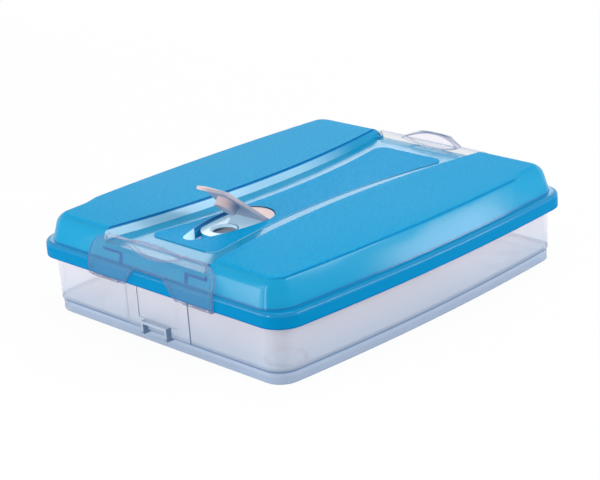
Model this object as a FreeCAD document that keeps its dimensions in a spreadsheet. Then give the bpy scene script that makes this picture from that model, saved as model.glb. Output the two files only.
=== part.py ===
import FreeCAD, Part
import math
import os
import Sketcher

# Snap lid food container: a clear tray, a domed lid with a channel along its top, one snap clip
# on each short end, and a vent flap moulded in one piece with the anchor that holds it.
# Z is up, Y runs along the length, and the container stands on z = 0 with its middle at x = y = 0.
# The near end, with the vent, is at -Y.

SIZES = {
    # outline that every level of the container is measured inwards from
    "lid_length": 240.0,  # over the straight short ends of the lid's skirt
    "lid_width": 210.0,  # over the widest place of the bowed long sides
    "side_bow": 5.3,  # how far each long side bulges between its corners
    "lid_corner": 15.6,  # corner radius of the skirt

    # tray
    "tray_wall": 1.6,
    "tray_floor": 1.8,
    "tray_side_inset": 6.2,  # skirt to tray wall, long sides
    "tray_end_inset": 3.6,  # skirt to tray wall, short ends
    "tray_corner": 13.0,
    "tray_draft": 0.2,  # how much the wall leans in from rim to foot
    "foot_height": 7.8,
    "foot_inset": 0.7,  # step between wall and foot
    "foot_rounding": 1.3,
    "floor_rounding": 3.0,
    "rim_thickness": 2.0,
    "rim_gap": 0.4,  # rim edge to the inside of the skirt
    "seat_gap": 0.3,  # rim top to the underside of the lid's shoulder
    "dimple_radius": 11.0,
    "dimple_depth": 0.6,
    "dimple_side_inset": 36.0,  # dimple centre in from the skirt, long side
    "dimple_end_inset": 32.0,  # dimple centre in from the skirt, short end

    # raised panel and stacking catch on each end wall of the tray
    "panel_width": 51.0,
    "panel_proud": 0.6,
    "panel_top": 32.2,
    "panel_recess_width": 32.0,
    "panel_recess_depth": 0.4,
    "catch_width": 21.0,
    "catch_bottom": 6.4,
    "catch_top": 14.2,
    "catch_rib": 1.6,
    "catch_proud": 4.2,

    # lid
    "lid_wall": 1.8,
    "lid_slope_wall": 2.0,  # wall of the dome measured level, across its slope
    "skirt_bottom": 34.0,
    "skirt_wall": 1.5,
    "shoulder_top": 42.8,
    "shoulder_rounding": 2.2,
    "dome_side_inset": 4.5,
    "dome_end_inset": 2.5,
    "dome_corner": 15.0,
    "plateau_level": 58.5,  # height of the top along its long edges
    "plateau_side_inset": 9.9,
    "plateau_end_inset": 6.4,
    "plateau_corner": 10.0,
    "crown_rise": 0.4,  # how much higher the top is along its middle
    "side_rounding": 2.5,
    "end_rounding": 8.0,
    "ring_depth": 4.5,  # sealing ring, below the shoulder
    "ring_wall": 1.4,
    "ring_gap": 0.3,  # sealing ring to the inside of the tray

    # channel along the top, its ends and the raised field in it
    "channel_floor": 53.3,
    "channel_waist": 30.4,  # half width of the floor at mid-length
    "channel_flare": 15.2,  # how much wider each side gets over the run to the ends
    "channel_slope": 2.6,  # how far the side leans out up to the plateau
    "channel_overrun": 10.0,  # how far the channel's outline runs past the skirt
    "ledge_reach": 13.5,  # ends of the floor in from the skirt
    "ledge_drop": 1.2,
    "field_waist": 16.0,
    "field_flare": 11.0,
    "field_reach": 24.0,  # ends of the field in from the skirt
    "field_corner": 6.0,
    "field_rise": 0.5,

    # vent: pocket, hole, one-piece flap and anchor
    "vent_offset": 3.0,  # vent's middle line, towards -X
    "vent_wide_radius": 15.5,
    "vent_tip_radius": 5.5,
    "vent_side_radius": 120.0,
    "vent_wide_inset": 78.5,  # centre of the wide end in from the skirt's near end
    "vent_tip_inset": 36.0,  # centre of the tip in from the skirt's near end
    "pocket_depth": 2.6,
    "hinge_inset": 80.5,  # living hinge in from the skirt's near end
    "hole_inset": 59.6,
    "hole_radius": 7.3,
    "plug_gap": 0.3,
    "plug_taper": 0.6,
    "plug_length": 5.0,
    "flap_thickness": 1.8,
    "flap_gap": 0.6,
    "flap_tip_gap": 2.6,  # more room at the flap's tip, for a fingernail
    "flap_lift": 0.2,  # flap and anchor above the pocket's floor
    "flap_bend_reach": 34.0,
    "flap_bend": 19.0,
    "flap_open": 42.0,
    "hinge_set_back": 1.4,
    "hinge_gap": 0.15,
    "hinge_width": 28.8,
    "boss_wall": 2.0,
    "scoop_radius": 13.4,  # edge of the finger scoop, about the steam hole
    "scoop_gap": 0.3,
    "stud_radius": 3.0,
    "stud_gap": 0.2,
    "stud_head_radius": 4.2,
    "stud_head": 1.0,
    "stud_inset": 86.5,

    # keeper on each end of the lid's dome, which the clip hooks over
    "keeper_width": 54.0,
    "keeper_bar_width": 84.0,
    "keeper_front_inset": 3.5,
    "keeper_block_inset": 2.9,
    "keeper_edge_level": 50.2,
    "keeper_bar_height": 1.8,
    "keeper_slope": 52.0,
    "keeper_drop": 0.3,  # keeper's flat top below the ledge at the channel's end

    # snap clip
    "clip_width": 101.4,
    "clip_wall": 1.1,
    "clip_gap": 0.2,  # clip to the skirt
    "clip_bottom": 33.7,
    "clip_bend_level": 40.8,
    "clip_bend_radius": 8.0,
    "clip_lean": 23.0,
    "clip_top": 56.6,
    "clip_corner": 10.0,
    "bead_width": 2.4,
    "bead_proud": 0.3,
    "hook_width": 82.0,
    "hook_gap": 0.3,
    "arch_width": 43.6,
    "arch_top_width": 25.0,
    "arch_top": 44.2,
    "arch_rounding": 4.5,
    "tab_width": 46.0,
    "tab_rise": 5.0,
    "tab_flare": 4.5,
    "tab_tilt": 38.0,
    "tab_wall": 2.2,
    "tab_scoop_drop": 4.8,
    "tab_scoop_radius": 5.6,

    # hinge of the clip: a rod behind the lower edge of the skirt, snapped into ribs of the tray
    "pivot_inset": 2.7,  # rod's axis in from the skirt
    "pivot_level": 33.3,
    "rod_radius": 0.75,
    "rod_gap": 0.13,
    "rod_start": 27.0,  # ends of each rod, out from the clip's middle
    "rod_end": 49.0,
    "strap_thickness": 1.1,  # web from the rod, under the skirt's edge, to the clip's plate
    "strap_slot": 2.0,  # how far out the strap's slots reach from the rod's axis
    "rib_start": 30.0,  # ribs that hold the rod, out from the tray's middle
    "rib_spacing": 13.0,
    "rib_width": 2.0,
    "rib_gap": 0.3,  # each side of a rib, in the strap
    "rib_reach": 1.45,  # past the rod's axis
    "rib_bottom": 32.6,
    "rib_shoulder": 35.2,  # above this level the rib slopes back to the rim
    "relief_wall": 0.95,  # skirt left outside the ribs
    "relief_top": 36.6,
}

doc = FreeCAD.newDocument("food_container")
sheet = doc.addObject("Spreadsheet::Sheet", "Sizes")
for row, (alias, size) in enumerate(SIZES.items(), 1):
    sheet.set(f"A{row}", alias)
    sheet.set(f"B{row}", str(size))
    sheet.setAlias(f"B{row}", alias)
doc.recompute()


def worth(expression):
    """The number that an expression on the sheet comes to."""
    return float(sheet.evalExpression(str(expression)))


# Expressions that several pieces share.
HALF_WIDTH = "Sizes.lid_width / 2"
HALF_LENGTH = "Sizes.lid_length / 2"
# The long sides of every level are arcs about one centre, so that walls keep their thickness.
BOW_CENTRE = ("(Sizes.lid_width / 2"
              " - ((Sizes.lid_length / 2) ^ 2 + Sizes.side_bow ^ 2) / (2 * Sizes.side_bow))")
SHOULDER_UNDERSIDE = "(Sizes.shoulder_top - Sizes.lid_wall)"
RIM_TOP = "(Sizes.shoulder_top - Sizes.lid_wall - Sizes.seat_gap)"
LEVEL_IN_SHOULDER = "(Sizes.shoulder_top - Sizes.lid_wall / 2)"
CROWN_TOP = "(Sizes.plateau_level + Sizes.crown_rise)"
VENT_X = "(-1 * Sizes.vent_offset)"
HINGE_Y = "(Sizes.hinge_inset - Sizes.lid_length / 2)"
HOLE_Y = "(Sizes.hole_inset - Sizes.lid_length / 2)"
POCKET_FLOOR = "(Sizes.channel_floor + Sizes.field_rise - Sizes.pocket_depth)"
FLAP_LOW = f"({POCKET_FLOOR} + Sizes.flap_lift)"
FLAP_AXIS = f"({FLAP_LOW} + Sizes.flap_thickness / 2)"
FLAP_LENGTH = ("(Sizes.hinge_inset - Sizes.vent_tip_inset + Sizes.vent_tip_radius"
               " - Sizes.flap_gap - Sizes.flap_tip_gap)")
# The scoop at the vent's tip is deep enough for the bent end of the closed flap.
SCOOP_FLOOR = (f"({FLAP_LOW} - Sizes.scoop_gap"
               f" - ({FLAP_LENGTH} - Sizes.flap_bend_reach) * sin(Sizes.flap_bend))")
CLIP_FACE = "(Sizes.lid_length / 2 + Sizes.clip_gap + Sizes.clip_wall)"
PIVOT_REACH = "(Sizes.lid_length / 2 - Sizes.pivot_inset)"


def origin_plane(body, role):
    return next(f for f in body.Origin.OriginFeatures if f.Role == role)


def new_body(label):
    body = doc.addObject("PartDesign::Body", label)
    body.Label = label
    return body


def new_sketch(body, name, role="XY_Plane", level="0"):
    """A sketch on one of its body's origin planes, moved along the plane's normal by level."""
    sketch = body.newObject("Sketcher::SketchObject", name)
    sketch.AttachmentSupport = (origin_plane(body, role), [""])
    sketch.MapMode = "FlatFace"
    sketch.AttachmentOffset = FreeCAD.Placement(FreeCAD.Vector(0, 0, worth(level)), FreeCAD.Rotation())
    sketch.setExpression("AttachmentOffset.Base.z", str(level))
    return sketch


def bind(sketch, kind, targets, expression, name):
    """Add a named dimension to a sketch and bind it to the sheet."""
    sketch.addConstraint(Sketcher.Constraint(kind, *targets, worth(expression)))
    index = sketch.ConstraintCount - 1
    sketch.renameConstraint(index, name)
    sketch.setExpression(f"Constraints.{name}", str(expression))


def side_centre(half_width, half_length, flare):
    """Centre of the arc that is half_width from the middle and flares out by flare at the ends."""
    return f"({half_width} + ({half_length} ^ 2 + {flare} ^ 2) / (2 * {flare}))"


def point_on(centre, toward, radius):
    step = toward - centre
    step.Length = radius
    return centre + step


def outline(body, name, level, half_width, half_length, corner, centre=BOW_CENTRE):
    """Closed outline with straight short ends, arc sides and round corners.

    centre is the x of the centre of the +X side's arc: on the far side of the middle the
    sides bow out, and on the near side they are drawn in.
    """
    sketch = new_sketch(body, name, "XY_Plane", level)
    w, b, r, c = worth(half_width), worth(half_length), worth(corner), worth(centre)
    bowed = c < w
    side_radius = abs(w - c)
    reach = side_radius - r if bowed else side_radius + r
    run = math.sqrt(reach ** 2 - (b - r) ** 2)
    corner_x = c + run if bowed else c - run
    up = FreeCAD.Vector(0, 0, 1)
    edges = []
    for turn in (0, 180):
        rotation = FreeCAD.Rotation(up, turn)
        place = lambda x, y: rotation.multVec(FreeCAD.Vector(x, y, 0))
        middle = place(c, 0)
        low, high = place(corner_x, r - b), place(corner_x, b - r)
        start, end = point_on(middle, low, side_radius), point_on(middle, high, side_radius)
        edges.append(Part.LineSegment(place(-corner_x, -b), place(corner_x, -b)))
        edges.append(Part.Arc(place(corner_x, -b), point_on(low, place(w + r, -b - r), r), start))
        edges.append(Part.Arc(start, place(w, 0), end))
        edges.append(Part.Arc(end, point_on(high, place(w + r, b + r), r), place(corner_x, b)))
    join(sketch, edges, "Tangent")
    for index, sign in ((0, -1), (4, 1)):
        sketch.addConstraint(Sketcher.Constraint("Horizontal", index))
        targets = (index, 1, -1, 1) if sign < 0 else (-1, 1, index, 1)
        bind(sketch, "DistanceY", targets, half_length, f"end_{index}")
    for index, sign in ((2, 1), (6, -1)):
        sketch.addConstraint(Sketcher.Constraint("PointOnObject", index, 3, -1))
        targets = (-1, 1, index, 3) if sign > 0 else (index, 3, -1, 1)
        bind(sketch, "DistanceX", targets, centre, f"side_centre_{index}")
    bind(sketch, "Radius", (2,), f"abs({half_width} - ({centre}))", "side_radius")
    sketch.addConstraint(Sketcher.Constraint("Equal", 2, 6))
    bind(sketch, "Radius", (1,), corner, "corner_radius")
    for index in (3, 5, 7):
        sketch.addConstraint(Sketcher.Constraint("Equal", 1, index))
    return sketch


def join(sketch, edges, kinds):
    """Add edges that follow each other round a loop, and constrain each joint between them."""
    first = sketch.GeometryCount
    for edge in edges:
        sketch.addGeometry(edge, False)
    count = len(edges)
    kinds = [kinds] * count if isinstance(kinds, str) else kinds
    for index in range(count):
        here, there = first + index, first + (index + 1) % count
        ends = [(a, b) for a in (1, 2) for b in (1, 2)
                if sketch.getPoint(here, a).isEqual(sketch.getPoint(there, b), 1e-4)]
        sketch.addConstraint(Sketcher.Constraint(kinds[index], here, ends[0][0], there, ends[0][1]))
    return first


def polygon(sketch, points, prefix="p"):
    """Closed shape of straight edges whose corners are expressions.

    A corner is (x, y), or (x, y, radius) where the edge that starts there is an arc: a
    positive radius bulges to the right of the way round, a negative one to the left.
    """
    places = [FreeCAD.Vector(worth(p[0]), worth(p[1]), 0) for p in points]
    edges = []
    for index, point in enumerate(points):
        start, end = places[index], places[(index + 1) % len(points)]
        if len(point) == 3:
            radius = worth(point[2])
            chord = end - start
            sagitta = abs(radius) - math.sqrt(radius ** 2 - (chord.Length / 2) ** 2)
            aside = FreeCAD.Vector(chord.y, -chord.x, 0)
            aside.Length = sagitta
            middle = (start + end) * 0.5 + (aside if radius > 0 else -aside)
            edges.append(Part.Arc(start, middle, end))
        else:
            edges.append(Part.LineSegment(start, end))
    first = join(sketch, edges, "Coincident")
    for index, point in enumerate(points):
        geometry = first + index
        start = 1
        if sketch.getPoint(geometry, 2).isEqual(places[index], 1e-4):
            start = 2
        for kind, expression, axis in (("DistanceX", point[0], "x"), ("DistanceY", point[1], "y")):
            name = f"{prefix}{axis}{index}"
            size = worth(expression)
            if abs(size) < 1e-9:
                fixed = -2 if axis == "x" else -1
                sketch.addConstraint(Sketcher.Constraint("PointOnObject", geometry, start, fixed))
            elif size > 0:
                bind(sketch, kind, (-1, 1, geometry, start), expression, name)
            else:
                bind(sketch, kind, (geometry, start, -1, 1), f"-({expression})", name)
        if len(point) == 3:
            bind(sketch, "Radius", (geometry,), f"abs({point[2]})", f"{prefix}r{index}")
    return first


def circle(sketch, x, y, radius, prefix="c"):
    place = FreeCAD.Vector(worth(x), worth(y), 0)
    index = sketch.addGeometry(Part.Circle(place, FreeCAD.Vector(0, 0, 1), worth(radius)), False)
    for kind, expression, axis in (("DistanceX", x, "x"), ("DistanceY", y, "y")):
        size = worth(expression)
        if abs(size) < 1e-9:
            fixed = -2 if axis == "x" else -1
            sketch.addConstraint(Sketcher.Constraint("PointOnObject", index, 3, fixed))
        elif size > 0:
            bind(sketch, kind, (-1, 1, index, 3), expression, f"{prefix}{axis}")
        else:
            bind(sketch, kind, (index, 3, -1, 1), f"-({expression})", f"{prefix}{axis}")
    bind(sketch, "Radius", (index,), radius, f"{prefix}_radius")


def loft(body, name, kind, *sketches):
    feature = body.newObject(f"PartDesign::{kind}Loft", name)
    feature.Profile = sketches[0]
    feature.Sections = list(sketches[1:])
    feature.Ruled = True
    doc.recompute()
    return feature


def pad(body, name, sketch, length, reverse=False, midplane=False):
    feature = body.newObject("PartDesign::Pad", name)
    feature.Profile = sketch
    feature.Length = worth(length)
    feature.setExpression("Length", str(length))
    feature.Reversed = reverse
    feature.Midplane = midplane
    doc.recompute()
    return feature


def pocket(body, name, sketch, length, reverse=False, midplane=False):
    before = body.Shape.Volume
    feature = body.newObject("PartDesign::Pocket", name)
    feature.Profile = sketch
    feature.Length = worth(length)
    feature.setExpression("Length", str(length))
    feature.Reversed = reverse
    feature.Midplane = midplane
    doc.recompute()
    if body.Shape.Volume >= before - 1e-6:
        raise RuntimeError(f"{name} cuts nothing")
    return feature


def round_edges(body, name, radius, wanted):
    """Fillet the edges of the body's last feature that wanted(edge) picks."""
    base = body.Tip
    picked = [f"Edge{i}" for i, edge in enumerate(base.Shape.Edges, 1) if wanted(edge)]
    feature = body.newObject("PartDesign::Fillet", name)
    feature.Base = (base, picked)
    feature.Radius = worth(radius)
    feature.setExpression("Radius", str(radius))
    doc.recompute()
    return feature


def lies_at(edge, level):
    box = edge.BoundBox
    return abs(box.ZMin - level) < 0.01 and abs(box.ZMax - level) < 0.01


def boolean(kind, name, base, tool):
    feature = doc.addObject(f"Part::{kind}", name)
    feature.Base = base
    feature.Tool = tool
    doc.recompute()
    return feature


def inset(expression, *steps):
    return "(" + " - ".join([expression, *steps]) + ")"


# ---------------------------------------------------------------- tray
def make_tray():
    """Tray: an open box with a stepped foot, a flat rim, and a catch and hinge seats on its ends."""
    body = new_body("tray")
    wall_side = inset(HALF_WIDTH, "Sizes.tray_side_inset")
    wall_end = inset(HALF_LENGTH, "Sizes.tray_end_inset")
    low_side, low_end = inset(wall_side, "Sizes.tray_draft"), inset(wall_end, "Sizes.tray_draft")
    foot_side, foot_end = inset(low_side, "Sizes.foot_inset"), inset(low_end, "Sizes.foot_inset")
    foot_corner = "(Sizes.tray_corner - Sizes.foot_inset)"

    pad(body, "foot", outline(body, "foot_outline", "0", foot_side, foot_end, foot_corner),
        "Sizes.foot_height")
    round_edges(body, "foot_round", "Sizes.foot_rounding", lambda edge: lies_at(edge, 0))
    loft(body, "wall", "Additive",
         outline(body, "wall_low", "Sizes.foot_height", low_side, low_end, "Sizes.tray_corner"),
         outline(body, "wall_high", RIM_TOP, wall_side, wall_end, "Sizes.tray_corner"))
    rim = "(Sizes.skirt_wall + Sizes.rim_gap)"
    rim_outline = outline(body, "rim_outline", f"{RIM_TOP} - Sizes.rim_thickness",
                          inset(HALF_WIDTH, rim), inset(HALF_LENGTH, rim),
                          f"(Sizes.lid_corner - {rim})")
    pad(body, "rim", rim_outline, "Sizes.rim_thickness")

    for end in ("near", "far"):
        make_end_panel(body, end, wall_end)
        make_hinge_seats(body, end, wall_end)

    # The inside, cut in two steps so that the step of the foot keeps its wall.
    shelf = "(Sizes.foot_height + Sizes.tray_floor - 0.4 * Sizes.foot_inset)"
    thick = "Sizes.tray_wall"
    loft(body, "inside_high", "Subtractive",
         outline(body, "inside_shelf", shelf, inset(low_side, thick), inset(low_end, thick),
                 f"(Sizes.tray_corner - {thick})"),
         outline(body, "inside_rim", RIM_TOP, inset(wall_side, thick), inset(wall_end, thick),
                 f"(Sizes.tray_corner - {thick})"))
    loft(body, "inside_low", "Subtractive",
         outline(body, "inside_floor", "Sizes.tray_floor", inset(foot_side, thick),
                 inset(foot_end, thick), f"({foot_corner} - {thick})"),
         outline(body, "inside_step", shelf, inset(foot_side, thick),
                 inset(foot_end, thick), f"({foot_corner} - {thick})"))
    floor_level = worth("Sizes.tray_floor")
    round_edges(body, "floor_round", "Sizes.floor_rounding", lambda edge: lies_at(edge, floor_level))

    # Four shallow round dimples under the corners of the floor.
    dimples = new_sketch(body, "dimple_circles")
    for index, (sx, sy) in enumerate(((1, 1), (1, -1), (-1, 1), (-1, -1))):
        circle(dimples, f"{sx} * ({HALF_WIDTH} - Sizes.dimple_side_inset)",
               f"{sy} * ({HALF_LENGTH} - Sizes.dimple_end_inset)", "Sizes.dimple_radius", f"d{index}")
    pocket(body, "dimples", dimples, "Sizes.dimple_depth", reverse=True)
    return body


def end_sketch(body, name, end, reach):
    """A sketch on the XZ plane, moved out to reach on the near (-Y) or far (+Y) end."""
    return new_sketch(body, name, "XZ_Plane", reach if end == "near" else f"-({reach})")


def box_points(x0, x1, y0, y1):
    return [(x0, y0), (x1, y0), (x1, y1), (x0, y1)]


def make_end_panel(body, end, wall_end):
    """Raised panel on the middle of an end wall, with a shallow recess and the stacking catch."""
    outward = end == "far"
    face = f"({wall_end} + Sizes.panel_proud)"
    inner = f"({wall_end} - Sizes.tray_wall / 2)"
    panel = end_sketch(body, f"{end}_panel_outline", end, inner)
    half = "Sizes.panel_width / 2"
    polygon(panel, box_points(f"-{half}", half, "Sizes.foot_height", "Sizes.panel_top"))
    pad(body, f"{end}_panel", panel, f"Sizes.panel_proud + Sizes.tray_wall / 2", reverse=outward)
    recess = end_sketch(body, f"{end}_recess_outline", end, face)
    half = "Sizes.panel_recess_width / 2"
    polygon(recess, box_points(f"-{half}", half, "Sizes.catch_top", "Sizes.panel_top"))
    pocket(body, f"{end}_recess", recess, "Sizes.panel_recess_depth", reverse=outward)

    # Stacking catch: a rib bent over like a staple, open below.
    catch = end_sketch(body, f"{end}_catch_outline", end, inner)
    outer, hollow = "Sizes.catch_width / 2", "(Sizes.catch_width / 2 - Sizes.catch_rib)"
    underside = "(Sizes.catch_top - Sizes.catch_rib)"
    polygon(catch, [(f"-{outer}", "Sizes.catch_bottom"), (f"-{hollow}", "Sizes.catch_bottom"),
                    (f"-{hollow}", underside), (hollow, underside),
                    (hollow, "Sizes.catch_bottom"), (outer, "Sizes.catch_bottom"),
                    (outer, "Sizes.catch_top"), (f"-{outer}", "Sizes.catch_top")])
    pad(body, f"{end}_catch", catch, "Sizes.catch_proud + Sizes.tray_wall / 2", reverse=outward)


def make_hinge_seats(body, end, wall_end):
    """Ribs under the rim, behind the skirt, whose lower ends are bored to snap over the clip's rods."""
    sign = "-1 *" if end == "near" else "1 *"
    inner = f"({sign} ({wall_end} - Sizes.tray_wall / 2))"
    tip = f"({sign} ({PIVOT_REACH} + Sizes.rib_reach))"
    rim = f"({sign} ({HALF_LENGTH} - Sizes.skirt_wall - Sizes.rim_gap))"
    top = f"({RIM_TOP} - Sizes.rim_thickness)"
    profile = [(inner, "Sizes.rib_bottom"), (tip, "Sizes.rib_bottom"), (tip, "Sizes.rib_shoulder"),
               (rim, f"(Sizes.rib_shoulder + Sizes.rib_reach / 2)"), (rim, f"({top} + 0.5)"),
               (inner, f"({top} + 0.5)")]
    for side in ("left", "right"):
        starts = [f"(Sizes.rib_start + {count} * Sizes.rib_spacing)" for count in (0, 1)]
        if side == "left":
            starts = [f"(-1 * ({start} + Sizes.rib_width))" for start in starts]
        for place, start in zip(("inner", "outer"), starts):
            rib = new_sketch(body, f"{end}_{side}_{place}_rib_outline", "YZ_Plane", start)
            polygon(rib, profile)
            pad(body, f"{end}_{side}_{place}_rib", rib, "Sizes.rib_width")
        first = starts[0] if side == "right" else starts[1]
        bore = new_sketch(body, f"{end}_{side}_bore_circle", "YZ_Plane", f"({first} - 1)")
        circle(bore, f"({sign} {PIVOT_REACH})", "Sizes.pivot_level", "(Sizes.rod_radius + Sizes.rod_gap)")
        pocket(body, f"{end}_{side}_bore", bore, "Sizes.rib_spacing + Sizes.rib_width + 2", reverse=True)


# ---------------------------------------------------------------- lid
def make_lid():
    """Lid: the moulded outer form, less the core that leaves its walls and sealing ring."""
    outer = lid_outer()
    core = lid_core()
    lid = boolean("Cut", "lid", outer, core)
    lid.Label = "lid"
    return lid


def dome_section(body, name, level, extra_inset="0"):
    """The dome's outline at a level on its slope, drawn in further by extra_inset."""
    climb = (f"(({level} - Sizes.shoulder_top)"
             " / (Sizes.plateau_level - Sizes.shoulder_top))")
    side = f"(Sizes.dome_side_inset + (Sizes.plateau_side_inset - Sizes.dome_side_inset) * {climb})"
    end = f"(Sizes.dome_end_inset + (Sizes.plateau_end_inset - Sizes.dome_end_inset) * {climb})"
    corner = f"(Sizes.dome_corner + (Sizes.plateau_corner - Sizes.dome_corner) * {climb})"
    return outline(body, name, level, inset(HALF_WIDTH, side, extra_inset),
                   inset(HALF_LENGTH, end, extra_inset), inset(corner, extra_inset))


def crown_points(drop):
    """Everything above the crowned top, lowered by drop: a wide shape under which the top stays."""
    half = HALF_WIDTH
    flat = inset(HALF_WIDTH, "Sizes.plateau_side_inset")
    radius = f"(({flat} ^ 2 + Sizes.crown_rise ^ 2) / (2 * Sizes.crown_rise))"
    edge = f"({CROWN_TOP} - {drop} - {radius} + sqrt({radius} ^ 2 - ({half}) ^ 2))"
    roof = f"({CROWN_TOP} + 20)"
    return [(f"({half})", edge, radius), (f"-({half})", edge), (f"-({half})", roof), (f"({half})", roof)]


def lid_outer():
    dome = new_body("dome_form")
    roof = "(Sizes.plateau_level + 2 * Sizes.crown_rise)"
    loft(dome, "dome_slope", "Additive", dome_section(dome, "dome_base", "Sizes.shoulder_top"),
         dome_section(dome, "dome_roof", roof))
    crown = new_sketch(dome, "crown_outline", "XZ_Plane")
    polygon(crown, crown_points("0"))
    pocket(dome, "crown", crown, "2 * Sizes.lid_length", midplane=True)

    # The edge of the top is crisp along the long sides and soft at the ends.
    soft = doc.addObject("Part::Fillet", "dome_rounded")
    soft.Base = dome
    side, end = worth("Sizes.side_rounding"), worth("Sizes.end_rounding")
    picked = []
    for index, edge in enumerate(dome.Shape.Edges, 1):
        box = edge.BoundBox
        if box.ZMin < worth("(Sizes.shoulder_top + Sizes.plateau_level) / 2"):
            continue
        if box.YLength > worth(HALF_LENGTH):
            picked.append((index, side, side))
        elif box.XLength > worth(HALF_WIDTH):
            picked.append((index, end, end))
        else:
            first, last = edge.valueAt(edge.FirstParameter), edge.valueAt(edge.LastParameter)
            order = (end, side) if abs(first.y) > abs(last.y) else (side, end)
            picked.append((index, *order))
    soft.Edges = picked
    doc.recompute()

    skirt = new_body("skirt_form")
    pad(skirt, "skirt", outline(skirt, "skirt_outline", "Sizes.skirt_bottom", HALF_WIDTH,
                                HALF_LENGTH, "Sizes.lid_corner"),
        "Sizes.shoulder_top - Sizes.skirt_bottom")
    level = worth("Sizes.shoulder_top")
    round_edges(skirt, "shoulder_round", "Sizes.shoulder_rounding", lambda edge: lies_at(edge, level))
    form = boolean("Fuse", "lid_form", skirt, soft)

    for end in ("near", "far"):
        form = boolean("Fuse", f"lid_with_{end}_keeper", form, make_keeper(end))
    form = boolean("Cut", "lid_with_channel", form, channel_tool())
    form = boolean("Fuse", "lid_with_field", form, field_pad())
    return boolean("Cut", "lid_with_pocket", form, vent_tool())


def make_keeper(end):
    """Catch on an end of the dome: a block on the shoulder with a longer bar along its top."""
    body = new_body(f"{end}_keeper_form")
    sign = "-1 *" if end == "near" else "1 *"
    back = f"({sign} ({HALF_LENGTH} - Sizes.plateau_end_inset - 4))"
    front = f"({sign} ({HALF_LENGTH} - Sizes.keeper_front_inset))"
    block = f"({sign} ({HALF_LENGTH} - Sizes.keeper_block_inset))"
    inside = f"({sign} ({HALF_LENGTH} - Sizes.keeper_front_inset - 0.1))"
    top = "(Sizes.channel_floor - Sizes.ledge_drop - Sizes.keeper_drop)"
    low, edge = "(Sizes.keeper_edge_level - Sizes.keeper_bar_height)", "Sizes.keeper_edge_level"
    run = f"(({top} - {edge}) / tan(Sizes.keeper_slope))"
    crest = f"({sign} ({HALF_LENGTH} - Sizes.keeper_front_inset - {run}))"
    stem = new_sketch(body, f"{end}_block_outline", "YZ_Plane")
    middle = f"({low} + Sizes.keeper_bar_height / 2)"
    polygon(stem, [(back, LEVEL_IN_SHOULDER), (block, LEVEL_IN_SHOULDER), (inside, middle),
                   (back, middle)])
    pad(body, f"{end}_block", stem, "Sizes.keeper_width", midplane=True)
    bar = new_sketch(body, f"{end}_bar_outline", "YZ_Plane")
    polygon(bar, [(back, low), (front, low), (front, edge), (crest, top), (back, top)])
    pad(body, f"{end}_bar", bar, "Sizes.keeper_bar_width", midplane=True)
    return body


def channel_section(body, name, level, extra):
    """The channel's outline at a level on its sides, widened by extra."""
    half_length = f"({HALF_LENGTH} + Sizes.channel_overrun)"
    lean = (f"(Sizes.channel_slope * ({level} - Sizes.channel_floor)"
            " / (Sizes.plateau_level - Sizes.channel_floor))")
    centre = side_centre("Sizes.channel_waist", half_length, "Sizes.channel_flare")
    return outline(body, name, level, f"(Sizes.channel_waist + {lean} + {extra})", half_length,
                   "Sizes.field_corner", centre)


def channel_tool():
    """The space of the channel: a floor drawn in at mid-length, sides that lean out, lower ends."""
    body = new_body("channel_space")
    half_length = f"({HALF_LENGTH} + Sizes.channel_overrun)"
    loft(body, "channel", "Additive",
         channel_section(body, "channel_low", "Sizes.channel_floor", "0"),
         channel_section(body, "channel_high", f"({CROWN_TOP} + 6)", "0"))
    for end in ("near", "far"):
        ledge = new_sketch(body, f"{end}_ledge_outline", "XY_Plane",
                           "(Sizes.channel_floor - Sizes.ledge_drop)")
        sign = "-1 *" if end == "near" else "1 *"
        half = "(Sizes.channel_waist + 0.7 * Sizes.channel_flare)"
        reach = [f"({sign} ({HALF_LENGTH} - Sizes.ledge_reach))", f"({sign} {half_length})"]
        if end == "near":
            reach.reverse()
        polygon(ledge, box_points(f"-{half}", half, *reach))
        pad(body, f"{end}_ledge", ledge, "Sizes.ledge_drop + 1")
    return body


def field_pad():
    """The raised satin field on the channel's floor."""
    body = new_body("field_form")
    half_length = inset(HALF_LENGTH, "Sizes.field_reach")
    centre = side_centre("Sizes.field_waist", half_length, "Sizes.field_flare")
    pad(body, "field", outline(body, "field_outline", "(Sizes.channel_floor - Sizes.lid_wall / 2)",
                               "Sizes.field_waist", half_length, "Sizes.field_corner", centre),
        "Sizes.field_rise + Sizes.lid_wall / 2")
    return body


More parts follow.
